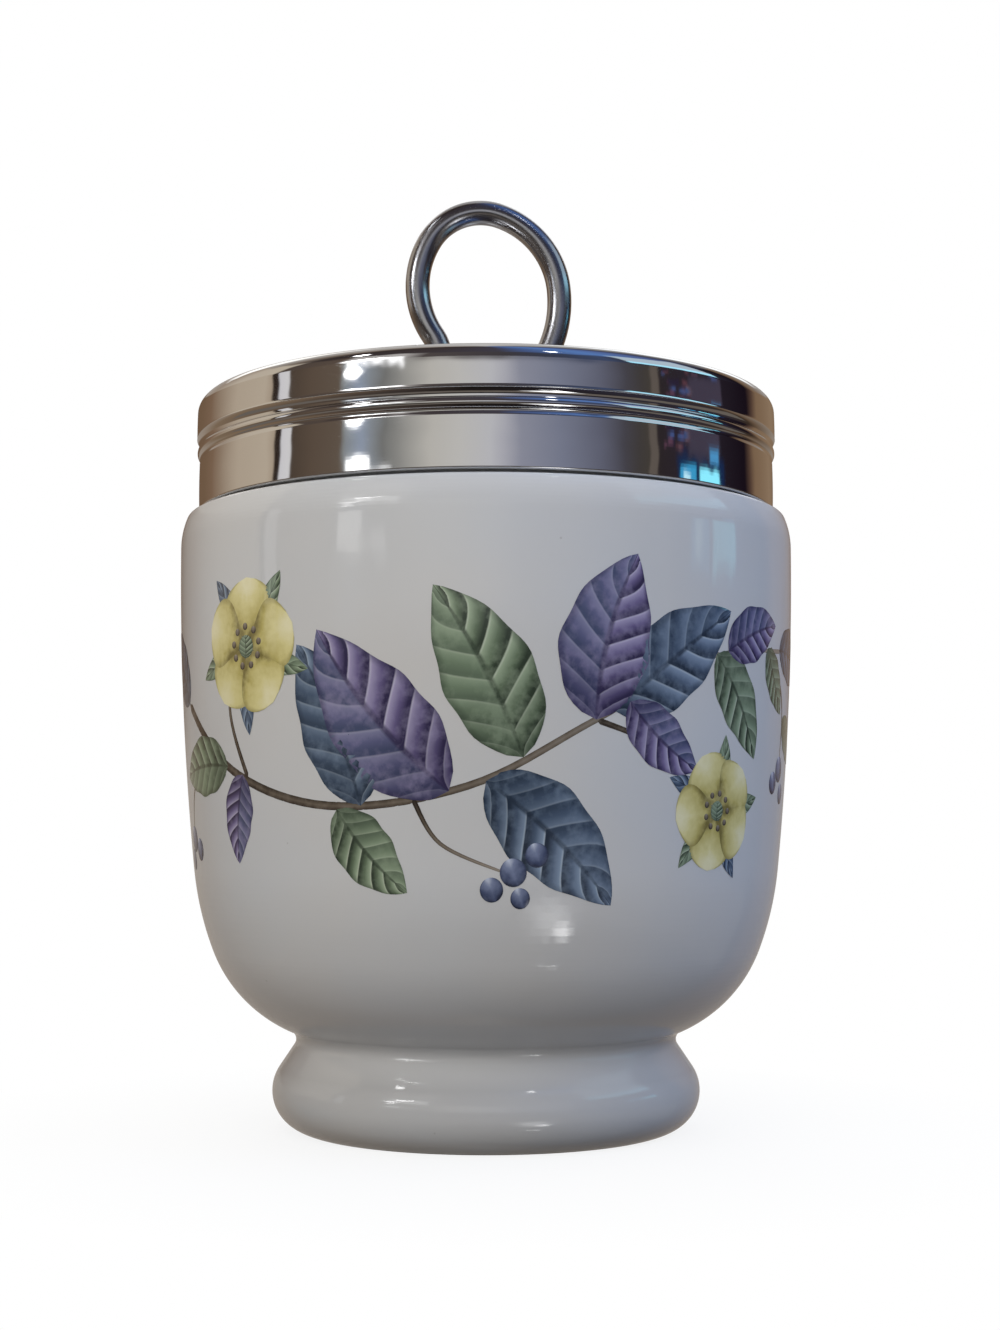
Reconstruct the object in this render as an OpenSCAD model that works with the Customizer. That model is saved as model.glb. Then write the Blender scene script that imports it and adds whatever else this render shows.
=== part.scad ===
// Porcelain egg coddler with a screw-on metal lid and a wire lifting ring.
// The cup stands on z = 0 with its axis on Z, and the lifting ring lies in the XZ plane.
// Sizes are in millimetres.

/* [Cup] */
// Widest diameter of the porcelain body
cup_d = 74.2; // [73.4:0.2:76]
// Height of the flat shoulder that the lid stands over
shoulder_z = 73.1; // [70:0.1:78]
// Thickness of the porcelain wall
wall = 3.2; // [2.8:0.1:3.4]
// Radius of the slow curve down the side
side_r = 370; // [320:10:420]
// Radius of the curve where the side turns in
turn_r = 38; // [34:1:42]
// Radius of the curve under the bowl
under_r = 17; // [16:0.5:18]
// Slope from upright where the turn becomes the underside, in degrees
under_slope = 21.1; // [19:0.1:23]
// Height at which the round underside would bottom out
under_z = 10.3; // [10:0.1:11]
// Radius of the shoulder's upper edge
shoulder_edge_r = 0.8; // [0.5:0.1:1]
// Slope from upright where the shoulder's curve meets that edge, in degrees
shoulder_slope = 22; // [18:1:26]
// Radius of the shoulder's curve below that edge
shoulder_r = 9; // [8:0.5:9.5]

/* [Foot] */
// Widest diameter of the foot
foot_d = 51.2; // [50:0.2:52]
// Radius of the foot's rounded rim
foot_r = 4.75; // [4.6:0.05:4.9]
// Height of the foot's widest part
foot_z = 4.6; // [4.4:0.05:4.7]
// Slope of the foot's upper side from upright, in degrees
foot_slope = 34; // [30:1:36]
// Radius of the groove between the foot and the bowl
waist_r = 1.2; // [0.9:0.1:1.4]
// Inner diameter of the unglazed ring that the cup stands on
rest_d = 38.6; // [37:0.2:40]
// Depth of the hollow under the cup
recess_h = 8.8; // [7:0.1:9]

/* [Screw thread] */
// Rise of the lid in one turn
lead = 4.5; // [4.2:0.1:4.8]
// Height of each ridge above its wall
ridge_h = 0.9; // [0.8:0.05:1]
// Width of each ridge where it leaves its wall
ridge_root = 1.5; // [1.3:0.1:1.6]
// Width of each ridge at its crest
ridge_crest = 0.8; // [0.6:0.1:0.9]
// Turns of the ridge round the porcelain neck
neck_turns = 1.25; // [1:0.05:1.35]
// Turns of the ridge inside the lid
ring_turns = 1; // [0.8:0.05:1]
// Gap between each crest and the facing wall
crest_gap = 0.4; // [0.3:0.05:0.5]
// Gap between the bearing flanks, measured up the axis
flank_gap = 0.3; // [0.2:0.05:0.4]

/* [Lid] */
// Diameter over the upper band
lid_d = 70.7; // [70:0.1:71]
// Height from the bottom edge to the flat border on top
lid_h = 13.8; // [13.7:0.05:14.5]
// Thickness of the lid's sheet metal
sheet = 0.45; // [0.4:0.05:0.5]
// Gap between the shoulder and the lid's bottom edge
seat_gap = 0.5; // [0.4:0.05:0.8]
// Set-back of the lower band from the upper one, on the radius
band_step = 0.3; // [0.2:0.05:0.4]
// Height of the lower band
band_h = 6; // [5.8:0.1:6.1]
// Radius of the raised bead above the lower band
bead_r = 0.75; // [0.7:0.05:0.8]
// Radius of the cove between the bead and the upper band
cove_r = 1.05; // [1:0.05:1.1]
// Depth of that cove below the upper band
cove_depth = 0.5; // [0.45:0.05:0.6]
// Radius of the edge round the top
top_edge_r = 1.75; // [1.5:0.05:2]
// Width of the flat border on top, inside the rounded edge
border_w = 4; // [3.8:0.1:4.5]
// Rise of the domed centre above the border
dome_rise = 3.2; // [2.6:0.1:3.5]
// Radial wall of the threaded ring inside the skirt
ring_wall = 0.5; // [0.4:0.05:0.6]
// Thickness of the sealing washer
washer_t = 1; // [0.8:0.1:1.2]

/* [Lifting ring] */
// Thickness of the bent wire
wire_d = 3; // [2.6:0.1:3.2]
// Distance of the right leg from the lid's axis
right_leg_x = 6.8; // [6.6:0.05:7]
// Height of the right leg's bend above the lid's flat border
right_leg_h = 4.2; // [4:0.05:4.6]
// Radius of the bend out of each leg, to the middle of the wire
bend_r = 5; // [4.5:0.1:5.5]
// Turn of the bend out of the right leg, in degrees
right_bend = 28; // [27:0.5:30]
// Radius of the ring's right side
right_r = 14.9; // [14:0.1:16]
// Turn of the ring's right side, in degrees
right_turn = 34; // [32:1:36]
// Radius of the ring's upper right
upper_r = 11.1; // [10.8:0.1:11.4]
// Turn of the ring's upper right, in degrees
upper_turn = 64; // [62:1:66]
// Radius of the ring's top
top_r = 7.3; // [7.1:0.05:7.5]
// Turn of the ring's top, in degrees
top_turn = 80; // [78:1:82]
// Radius of the ring's left side
left_r = 11.2; // [11:0.1:11.6]
// Turn of the bend into the left leg, in degrees
left_bend = 34; // [32:0.5:35]
// Thickness of the plate under the dome that the legs are riveted over
plate_t = 0.8; // [0.6:0.1:1]
// Diameter of that plate
plate_d = 21; // [20:0.5:23]
// Thickness of the riveted leg ends
head_t = 0.9; // [0.7:0.1:1]

/* [Hidden] */
$fa = 2;
$fs = 0.35;
fit = 0.02; // gap between pieces of the lid that are pressed together
ease = 0.15; // running gap round and over the washer
leg_gap = 0.03; // gap between each leg and its holes
head_out = 0.8; // distance that each riveted head stands out round its leg
joint_gap = 0.01; // half the gap between two stretches of wire inside their ball
sink = 0.3; // depth to which each ridge is rooted in its wall
tip_sink = 0.15; // depth of a ridge's run-out below its wall
edge = 0.3; // radius of the lid's lower corner
hem = 0.4; // thickness and inward reach of the turned-in hem
crease_h = 0.45; // height of the crease between the lower band and the bead
crease_depth = 0.1; // depth of that crease
bead_out = 0.23; // distance that the bead stands out from the lower band
bead_gap = 0.05; // height from the top of the bead to the middle of the cove
ridge_lift = 0.35; // height from the bottom of the threaded ring to its ridge
dome_root = 0.2; // depth to which the dome is rooted in the border
under_dome = 5; // depth below the border that the space under the dome is cut from
lip_r = 1; // radius of the mouth's two edges
root_r = 0.6; // fillet at the foot of the neck
rest_edge_r = 0.7; // radius of the inner edge of the ring that the cup stands on
recess_edge_r = 2.4; // radius round the top of the hollow under the cup
chord = 0.01; // furthest that a drawn curve leaves its true arc
upright = 1; // degrees below the widest part where the inside of the wall turns upright
step = 7.5; // degrees of turn for each facet of a ridge
run_out = 30; // degrees over which each ridge grows and fades

// Shoulder: one curve from the widest part, then a tight edge up to the flat.
cup_r = cup_d / 2;
shoulder_x = cup_r - shoulder_r;
edge_x = shoulder_x + (shoulder_r - shoulder_edge_r) * cos(shoulder_slope);
edge_z = shoulder_z - shoulder_edge_r;
widest_z = edge_z - (shoulder_r - shoulder_edge_r) * sin(shoulder_slope);

// Bowl: centres of its arcs, from the side down to the waist.
side_x = cup_r - side_r;
under_c_z = under_z + under_r;
turn_drop = (turn_r - under_r) * sin(under_slope);
side_angle = asin((widest_z - turn_drop - under_c_z) / (side_r - turn_r));
turn_x = side_x + (side_r - turn_r) * cos(side_angle);
turn_z = widest_z - (side_r - turn_r) * sin(side_angle);
under_x = turn_x + (turn_r - under_r) * cos(under_slope);

// Foot and waist: a rim of foot_r, a straight upper side and a fillet against the underside.
foot_x = foot_d / 2 - foot_r;
guide_x = foot_x + (foot_r + waist_r) * cos(foot_slope) - under_x;
guide_z = foot_z + (foot_r + waist_r) * sin(foot_slope) - under_c_z;
guide_dot = -guide_x * sin(foot_slope) + guide_z * cos(foot_slope);
guide_sq = pow(guide_x, 2) + pow(guide_z, 2) - pow(under_r + waist_r, 2);
waist_run = -guide_dot - sqrt(pow(guide_dot, 2) - guide_sq);
waist_x = under_x + guide_x - waist_run * sin(foot_slope);
waist_z = under_c_z + guide_z + waist_run * cos(foot_slope);
waist_angle = atan2(under_c_z - waist_z, under_x - waist_x);

// Lid: radii from the outside in, then the neck that its thread fits.
lid_r = lid_d / 2;
band_r = lid_r - band_step;
ring_out_r = band_r - sheet - fit;
ring_in_r = ring_out_r - ring_wall;
neck_r = ring_in_r - ridge_h - crest_gap;
bore_r = neck_r - wall;
lid_z = shoulder_z + seat_gap;
border_z = lid_z + lid_h;
bead_z = lid_z + band_h + crease_h + bead_r;
cove_z = bead_z + bead_r + bead_gap;
cove_x = lid_r - cove_depth + cove_r;
cove_in_r = lid_r - cove_depth - sheet;
under_border_z = border_z - sheet;
washer_z = under_border_z - washer_t - fit;
rim_z = washer_z - fit;
dome_r = lid_r - top_edge_r - border_w;
dome_sphere_r = (pow(dome_r, 2) + pow(dome_rise, 2)) / (2 * dome_rise);
dome_c_z = border_z + dome_rise - dome_sphere_r;
washer_out_r = lid_r - top_edge_r - ease;
washer_in_r = bore_r + ease;

// Threaded ring: it stands on the hem and stops under the metal behind the cove.
ring_z = lid_z + hem + fit;
ring_top_z = bead_z + bead_r / 2;
ring_ridge_z = ring_z + ridge_root / 2 + ridge_lift;
mid_width = (ridge_root + ridge_crest) / 2 - (ridge_root - ridge_crest) * crest_gap / (2 * ridge_h);
ridge_shift = mid_width + flank_gap;

// Lifting ring: radius and turn of each stretch of the wire, from the right leg round to the left one.
// A turn below 0 bends away from the inside of the ring.
left_turn = 180 + right_bend + left_bend - right_turn - upper_turn - top_turn;
stretches = [
    [bend_r, -right_bend],
    [right_r, right_turn],
    [upper_r, upper_turn],
    [top_r, top_turn],
    [left_r, left_turn],
    [bend_r, -left_bend]
];
last_stretch = len(stretches) - 1;

// Hollow of the cup: its top is drawn in by two quarter rounds to the bore of the neck.
hollow_r = cup_r - wall - (side_r - wall) * (1 - cos(upright));
swell_r = (hollow_r - bore_r) / 2;
swell_mid_z = shoulder_z - wall;
recess_r = rest_d / 2 - rest_edge_r;

// Points along an arc of the section. skip = 1 leaves out the first, where it ends another arc.
function arc(x, z, r, first, last, skip = 0) =
    let (count = max(2, ceil(abs(last - first) / (2 * acos(1 - chord / r)))))
    [
        for (i = [skip : count])
            let (angle = first + (last - first) * i / count)
            [x + r * cos(angle), z + r * sin(angle)]
    ];

// Outline of the cup's wall: under the foot, up the outside, over the mouth and down the inside.
function cup_outline() = concat(
    [[0, recess_h]],
    arc(recess_r - recess_edge_r, recess_h - recess_edge_r, recess_edge_r, 90, 0),
    arc(recess_r + rest_edge_r, rest_edge_r, rest_edge_r, 180, 270),
    arc(foot_x, foot_z, foot_r, -asin(foot_z / foot_r), foot_slope),
    arc(waist_x, waist_z, waist_r, 180 + foot_slope, waist_angle),
    arc(under_x, under_c_z, under_r, waist_angle - 180, -under_slope, 1),
    arc(turn_x, turn_z, turn_r, -under_slope, -side_angle, 1),
    arc(side_x, widest_z, side_r, -side_angle, 0, 1),
    arc(shoulder_x, widest_z, shoulder_r, 0, shoulder_slope, 1),
    arc(edge_x, edge_z, shoulder_edge_r, shoulder_slope, 90, 1),
    arc(neck_r + root_r, shoulder_z + root_r, root_r, 270, 180),
    arc(neck_r - lip_r, rim_z - lip_r, lip_r, 0, 90),
    arc(bore_r + lip_r, rim_z - lip_r, lip_r, 90, 180),
    arc(bore_r + swell_r, swell_mid_z + swell_r, swell_r, 180, 270),
    arc(hollow_r - swell_r, swell_mid_z - swell_r, swell_r, 90, 0, 1),
    arc(side_x, widest_z, side_r - wall, -upright, -side_angle),
    arc(turn_x, turn_z, turn_r - wall, -side_angle, -under_slope, 1),
    arc(under_x, under_c_z, under_r - wall, -under_slope, -90, 1),
    [[0, under_z + wall]]
);

// Strip of the section between two heights, out to radius r.
module strip(low, high, r) {
    translate([0, low])
        square([r, high - low]);
}

// Disc in the section, given by its centre and radius.
module disc(x, z, r) {
    translate([x, z])
        circle(r, $fn = 96);
}

// Share of a ridge's full height at a turn angle, growing and fading over run_out degrees.
function ridge_share(angle, sweep) = min(1, angle / run_out, (sweep - angle) / run_out);

// Screw ridge on a wall of radius r. side is 1 for an outward ridge and -1 for an inward one.
module ridge(r, side, first_z, start, turns) {
    sweep = turns * 360;
    count = round(sweep / step);
    loops = [
        for (i = [0 : count])
            let (
                angle = start + i * sweep / count,
                z = first_z + lead * angle / 360,
                share = ridge_share(i * sweep / count, sweep),
                crest = r + side * (share * (ridge_h + tip_sink) - tip_sink),
                root = r - side * sink
            )
            each [
                [root * cos(angle), root * sin(angle), z - ridge_root / 2],
                [crest * cos(angle), crest * sin(angle), z - ridge_crest / 2],
                [crest * cos(angle), crest * sin(angle), z + ridge_crest / 2],
                [root * cos(angle), root * sin(angle), z + ridge_root / 2]
            ]
    ];
    skin = [
        for (i = [0 : count - 1])
            for (k = [0 : 3])
                let (a = 4 * i + k, b = 4 * i + (k + 1) % 4)
                each [[a, b, b + 4], [a, b + 4, a + 4]]
    ];
    caps = [[3, 2, 1, 0], [4 * count, 4 * count + 1, 4 * count + 2, 4 * count + 3]];
    faces = concat(skin, caps);
    polyhedron(loops, side > 0 ? faces : [for (f = faces) [for (j = [len(f) - 1 : -1 : 0]) f[j]]]);
}

// One piece of fired porcelain: bowl, foot and threaded neck.
module cup() {
    color([0.86, 0.86, 0.88]) {
        rotate_extrude($fn = 180)
            polygon(cup_outline());
        ridge(neck_r, 1, ring_ridge_z + ridge_shift, -45, neck_turns);
    }
}

// Thin metal sleeve with the inner thread, held between the hem and the cove.
module thread_ring() {
    color([0.72, 0.72, 0.74]) {
        rotate_extrude()
            difference() {
                strip(ring_z, ring_top_z, ring_out_r);
                strip(ring_z - 1, ring_top_z + 1, ring_in_r);
            }
        ridge(ring_in_r, -1, ring_ridge_z, 0, ring_turns);
    }
}

// Flat ring under the border that closes the lid on the mouth.
module sealing_washer() {
    color([0.25, 0.24, 0.24])
        translate([0, 0, washer_z])
            difference() {
                cylinder(h = washer_t, r = washer_out_r, $fn = 180);
                translate([0, 0, -1])
                    cylinder(h = washer_t + 2, r = washer_in_r, $fn = 180);
            }
}

// Outside of the pressed lid, up to its flat border.
module lid_outer_section() {
    strip(lid_z, lid_z + edge, band_r - edge);
    disc(band_r - edge, lid_z + edge, edge);
    strip(lid_z + edge, lid_z + band_h, band_r);
    strip(lid_z + band_h, bead_z, band_r - crease_depth);
    disc(band_r + bead_out - bead_r, bead_z, bead_r);
    strip(bead_z, cove_z, lid_r - cove_depth);
    difference() {
        strip(cove_z, border_z - top_edge_r, lid_r);
        disc(cove_x, cove_z, cove_r);
    }
    strip(cove_z, border_z, lid_r - top_edge_r);
    disc(lid_r - top_edge_r, border_z - top_edge_r, top_edge_r);
}

// Inside of the pressed lid: behind the cove it stands in and holds the threaded ring down.
module lid_inner_section() {
    strip(lid_z - 1, lid_z + hem + 1, band_r - sheet - hem);
    strip(lid_z + hem, ring_top_z + fit, band_r - sheet);
    strip(ring_top_z, cove_z, cove_in_r);
    difference() {
        strip(cove_z, border_z - top_edge_r, lid_r - sheet);
        disc(cove_x, cove_z, cove_r + sheet);
    }
    strip(cove_z, under_border_z, lid_r - top_edge_r);
    disc(lid_r - top_edge_r, border_z - top_edge_r, top_edge_r - sheet);
}

// Pressed and plated lid: dome, border, two bands, bead and cove.
module lid_cap() {
    color([0.62, 0.62, 0.64])
        difference() {
            union() {
                rotate_extrude()
                    lid_outer_section();
                dome(dome_sphere_r, dome_r, border_z - dome_root);
            }
            rotate_extrude()
                lid_inner_section();
            dome(dome_sphere_r - sheet, dome_r, under_border_z - dome_root);
            leg_holes();
        }
}

// Cap of a sphere about the dome's centre, out to radius r and down to the height low.
module dome(sphere_r, r, low) {
    rotate_extrude()
        intersection() {
            translate([0, dome_c_z])
                circle(sphere_r, $fn = 1440);
            strip(low, border_z + 2 * dome_rise, r);
        }
}

// Straight holes for the two legs, through the dome and the plate.
module leg_holes() {
    for (top = [spot(0), spot(last_stretch + 1)])
        translate([top[0], 0, border_z - under_dome])
            cylinder(h = 2 * under_dome + dome_rise, r = wire_d / 2 + leg_gap, $fn = 64);
}

// Dished plate that lies against the underside of the dome.
module backing_plate() {
    color([0.55, 0.55, 0.56])
        difference() {
            dome(dome_sphere_r - sheet - fit, plate_d / 2, border_z - under_dome);
            dome(dome_sphere_r - sheet - fit - plate_t, plate_d, border_z - under_dome - 1);
            leg_holes();
        }
}

// Heading of the wire where stretch i starts, in degrees from the x axis, and the side it turns to.
function heading(i) = i == 0 ? 90 : heading(i - 1) + stretches[i - 1][1];
function turn_side(i) = sign(stretches[i][1]);

// Start of stretch i, and the centre of its arc, in the plane of the ring.
function spot(i) = i == 0 ?
    [right_leg_x, border_z + right_leg_h] :
    centre(i - 1) + stretches[i - 1][0] * turn_side(i - 1) * [sin(heading(i)), -cos(heading(i))];
function centre(i) = spot(i) + stretches[i][0] * turn_side(i) * [-sin(heading(i)), cos(heading(i))];

// One stretch of the wire between its two balls. Each end stops a hair short, inside its ball.
module stretch(i) {
    r = stretches[i][0];
    sweep = abs(stretches[i][1]);
    first = turn_side(i) > 0 ? heading(i) - 90 : heading(i) + 90 - sweep;
    trim = joint_gap / r * 180 / PI;
    translate(centre(i))
        rotate([0, 0, first + trim])
            rotate_extrude(angle = sweep - 2 * trim, $fn = 180)
                translate([r, 0])
                    circle(wire_d / 2, $fn = 48);
}

// One leg from the end of its bend down to its riveted head.
module leg(top) {
    plate_low = dome_sphere_r - sheet - 2 * fit - plate_t;
    head_z = dome_c_z + plate_low * cos(asin(top[0] / plate_low)) - head_t;
    translate([top[0], 0, head_z + head_t / 2])
        cylinder(h = top[1] - joint_gap - head_z - head_t / 2, r = wire_d / 2, $fn = 48);
    intersection() {
        translate([top[0], 0, head_z])
            cylinder(h = head_t + 1, r = wire_d / 2 + head_out, $fn = 64);
        dome(plate_low, plate_d, border_z - under_dome - 1);
    }
}

// Bent wire ring with both legs through the dome. The ball at each joint has its poles in the wire.
module lifting_ring() {
    color([0.6, 0.62, 0.66]) {
        rotate([90, 0, 0]) {
            for (i = [0 : last_stretch])
                stretch(i);
            for (i = [0 : last_stretch + 1])
                translate(spot(i))
                    rotate([0, 90, heading(i)])
                        sphere(wire_d / 2 + joint_gap, $fn = 64);
        }
        leg(spot(0));
        leg(spot(last_stretch + 1));
    }
}

cup();
thread_ring();
sealing_washer();
lid_cap();
backing_plate();
lifting_ring();
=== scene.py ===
# Porcelain egg coddler with a screw lid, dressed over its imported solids. Metres, +Z up, seen along +Y.
import math
import random

import bpy
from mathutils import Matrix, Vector, noise


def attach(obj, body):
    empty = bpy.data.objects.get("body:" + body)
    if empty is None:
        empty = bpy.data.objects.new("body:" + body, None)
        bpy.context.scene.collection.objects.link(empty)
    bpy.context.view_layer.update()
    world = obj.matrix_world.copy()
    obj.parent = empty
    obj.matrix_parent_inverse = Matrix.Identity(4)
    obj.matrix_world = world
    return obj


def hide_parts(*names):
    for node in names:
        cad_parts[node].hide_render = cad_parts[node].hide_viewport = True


mm = 0.001
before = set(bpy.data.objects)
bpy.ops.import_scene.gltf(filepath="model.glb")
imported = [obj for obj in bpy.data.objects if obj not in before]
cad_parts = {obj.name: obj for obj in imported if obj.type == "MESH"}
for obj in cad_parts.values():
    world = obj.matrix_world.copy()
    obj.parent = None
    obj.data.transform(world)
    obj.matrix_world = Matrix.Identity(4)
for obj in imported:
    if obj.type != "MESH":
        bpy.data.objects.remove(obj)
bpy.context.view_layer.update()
random.seed(7)
print("frame loaded:", ", ".join(sorted(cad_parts)))


def hexColour(text):
    # sRGB hex to the linear colour that shaders take
    parts = [int(text[i:i + 2], 16) / 255 for i in (1, 3, 5)]
    linear = [c / 12.92 if c <= 0.04045 else ((c + 0.055) / 1.055) ** 2.4 for c in parts]
    return (*linear, 1.0)


def addNode(tree, kind, settings):
    # kind leaves out its ShaderNode prefix; a key that names or numbers a socket takes a value, a hex
    # colour or a link, and any other key is the node's own setting
    node = tree.nodes.new("ShaderNode" + kind)
    for key, value in settings.items():
        if isinstance(key, int) or key in node.inputs:
            if isinstance(value, bpy.types.NodeSocket):
                tree.links.new(value, node.inputs[key])
            else:
                node.inputs[key].default_value = hexColour(value) if isinstance(value, str) else value
        else:
            setattr(node, key, value)
    return node


def newMaterial(name):
    material = bpy.data.materials.new(name)
    material.use_nodes = True
    material.node_tree.nodes.clear()
    return material, material.node_tree


def setRamp(node, stops):
    # a stop is a place with a hex colour or a grey
    ramp = node.color_ramp
    while len(ramp.elements) > len(stops):
        ramp.elements.remove(ramp.elements[-1])
    while len(ramp.elements) < len(stops):
        ramp.elements.new(1.0)
    for element, (place, colour) in zip(ramp.elements, stops):
        element.position = place
        element.color = hexColour(colour) if isinstance(colour, str) else (colour, colour, colour, 1.0)
    return node


def arc(x, z, r, first, last, steps):
    # points on an arc of the section, angles in degrees
    turns = [first + (last - first) * i / steps for i in range(steps + 1)]
    return [(x + r * math.cos(math.radians(a)), z + r * math.sin(math.radians(a))) for a in turns]


def withSupports(points, reach=0.07):
    # a point near each end of every long straight stretch keeps the shading of the stretch flat
    result = [points[0]]
    for (ax, az), (bx, bz) in zip(points, points[1:]):
        length = math.hypot(bx - ax, bz - az)
        if length > 6 * reach:
            for share in (reach / length, 1 - reach / length):
                result.append((ax + (bx - ax) * share, az + (bz - az) * share))
        if length > 1e-6:
            result.append((bx, bz))
    return result


def meshPiece(name, vertices, faces, material):
    mesh = bpy.data.meshes.new(name)
    mesh.from_pydata([(x * mm, y * mm, z * mm) for x, y, z in vertices], [], faces)
    mesh.validate()
    mesh.shade_smooth()
    mesh.materials.append(material)
    piece = bpy.data.objects.new(name, mesh)
    bpy.context.scene.collection.objects.link(piece)
    return piece


def uniqueCorners(corners):
    return [c for k, c in enumerate(corners) if c != corners[k - 1]]


def joinRings(rings):
    # faces between each ring of points and the next one
    faces = []
    for low, high in zip(rings, rings[1:]):
        for i in range(len(low)):
            j = (i + 1) % len(low)
            corners = uniqueCorners([low[i], low[j], high[j], high[i]])
            if len(corners) > 2:
                faces.append(corners)
    return faces


def lathe(outline, columns, shape=None, closed=False):
    # turns an outline of (radius, height) round Z; shape may change the radius at an angle
    vertices, rings = [], []
    for r, z in outline:
        if r < 1e-6:
            rings.append([len(vertices)] * columns)
            vertices.append((0, 0, z))
            continue
        rings.append(list(range(len(vertices), len(vertices) + columns)))
        for i in range(columns):
            angle = 2 * math.pi * i / columns
            out = shape(angle, r, z) if shape else r
            vertices.append((out * math.cos(angle), out * math.sin(angle), z))
    if closed:
        rings.append(rings[0])
    return vertices, joinRings(rings)


view = {
    "imageSize": (1000, 1330),   # pixels of the photograph
    "focalPixels": 2000,
    "distance": 244.3,           # mm from the axis of the cup
    "eyeHeight": 35.5,           # mm above the table
    "pitch": 4.7,                # degrees up
    "axisPixel": 486.0,          # column of the photograph that the cup's axis lies on
}


def makeCamera():
    data = bpy.data.cameras.new("photoCamera")
    wide, high = view["imageSize"]
    data.sensor_width = 36
    data.lens = 36 * view["focalPixels"] / high
    data.shift_x = (wide / 2 - view["axisPixel"]) / high
    data.clip_start = 0.01
    camera = bpy.data.objects.new("photoCamera", data)
    camera.location = (0, -view["distance"] * mm, view["eyeHeight"] * mm)
    camera.rotation_euler = (math.radians(90 + view["pitch"]), 0, 0)
    bpy.context.scene.collection.objects.link(camera)
    bpy.context.scene.camera = camera


makeCamera()
print("camera ready")


porcelain = {
    "body": "#C9CACA",        # fired bone china under a clear glaze, in the room's soft light
    "bodyWarm": "#CCCAC6",
    "footShade": "#ABAAA8",      # painted shade round the waist and the foot, under the bowl
    "speck": "#8F8A84",
    "biscuit": "#D0CBC0",     # bare clay where the foot was wiped clean of glaze
    "cloud": 26.0,            # mm across the warm and cool clouds of the clay
    "speckGap": 7.0,          # mm between the iron specks
    "wipe": 5.0,              # mm between the wavers of the wiped edge
    "glazeRipple": 2.6,       # mm between the ripples of the glaze
    "slowRipple": 11.0,       # mm between the slow swells of the cast wall
    "roughness": 0.05,
}


def glazeBump(tree, coords):
    # the glaze pools in slow swells with a fine orange peel on them, which makes the highlights waver
    fine = addNode(tree, "TexNoise", {
        "Vector": coords, "Scale": 1 / (porcelain["glazeRipple"] * mm), "Detail": 2.0})
    slow = addNode(tree, "TexNoise", {
        "Vector": coords, "Scale": 1 / (porcelain["slowRipple"] * mm), "Detail": 1.0})
    first = addNode(tree, "Bump", {
        "Height": slow.outputs["Fac"], "Strength": 0.3, "Distance": 0.22 * mm})
    second = addNode(tree, "Bump", {
        "Height": fine.outputs["Fac"], "Strength": 0.2, "Distance": 0.03 * mm,
        "Normal": first.outputs["Normal"]})
    return second.outputs["Normal"]


def glazedBoneChina():
    # slip-cast bone china, bisque fired and glazed: white and glassy, with a few iron specks
    material, tree = newMaterial("glazed bone china")
    coords = addNode(tree, "TexCoord", {}).outputs["Object"]
    height = addNode(tree, "SeparateXYZ", {"Vector": coords}).outputs["Z"]
    cloud = addNode(tree, "TexNoise", {
        "Vector": coords, "Scale": 1 / (porcelain["cloud"] * mm), "Detail": 3.0})
    colour = setRamp(addNode(tree, "ValToRGB", {"Fac": cloud.outputs["Fac"]}), [
        (0.35, porcelain["body"]), (0.7, porcelain["bodyWarm"])]).outputs["Color"]
    # each speck is about 0.15 mm wide
    gap = addNode(tree, "TexVoronoi", {"Vector": coords, "Scale": 1 / (porcelain["speckGap"] * mm)})
    specks = setRamp(addNode(tree, "ValToRGB", {"Fac": gap.outputs["Distance"]}), [
        (0.012, 0.35), (0.022, 0.0)])
    # painted shade: the china is drawn a little greyer from the waist to the shoulder of the foot, under
    # the bowl
    level = addNode(tree, "MapRange", {"Value": height, "From Min": 0.0, "From Max": 22 * mm})
    thick = setRamp(addNode(tree, "ValToRGB", {"Fac": level.outputs["Result"]}), [
        (0.1, 0.2), (0.33, 0.8), (0.45, 0.25), (0.9, 0.0)])
    # the ring that the cup stands on is wiped bare, so it is matt and a little cream
    wipe = addNode(tree, "TexNoise", {
        "Vector": coords, "Scale": 1 / (porcelain["wipe"] * mm), "Detail": 2.0})
    edge = addNode(tree, "Math", {
        "operation": "MULTIPLY_ADD", 0: wipe.outputs["Fac"], 1: 0.12 * mm, 2: height})
    bare = addNode(tree, "MapRange", {
        "Value": edge.outputs["Value"], "From Min": 0.16 * mm, "From Max": 0.22 * mm,
        "To Min": 1.0, "To Max": 0.0})
    # the specks and the bare ring are the china's own, the grey round the foot is painted shade
    for mask, over in ((specks.outputs["Color"], "speck"), (thick.outputs["Color"], "footShade"),
                       (bare.outputs["Result"], "biscuit")):
        colour = addNode(tree, "Mix", {
            "data_type": "RGBA", 0: mask, 6: colour, 7: porcelain[over]}).outputs[2]
    gloss = addNode(tree, "MapRange", {
        "Value": bare.outputs["Result"], "To Min": porcelain["roughness"], "To Max": 0.75})
    shader = addNode(tree, "BsdfPrincipled", {
        "Base Color": colour, "Roughness": gloss.outputs["Result"], "IOR": 1.5,
        "Normal": glazeBump(tree, coords)})
    addNode(tree, "OutputMaterial", {"Surface": shader.outputs["BSDF"]})
    return material


inks = {
    # shade in the folds, wash, light side, vein, and for a leaf the tone that one half leans to
    "violet": ("#352F4C", "#695F86", "#9D95B4", "#B9B3C8", "#55627E"),
    "slate": ("#2A3442", "#546378", "#8394A8", "#A9B6C2", "#47566A"),
    "sage": ("#353F33", "#66765E", "#98A88D", "#BAC4AC", "#7B8C74"),
    "petal": ("#7C7140", "#BDB06A", "#DAD093", "#E8E1B8"),
    "berry": ("#252B3E", "#454F6C", "#7A849F", "#C2C9D8"),
    "stem": ("#37302A", "#5C5247", "#7F7568", "#988E80"),
}

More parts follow.
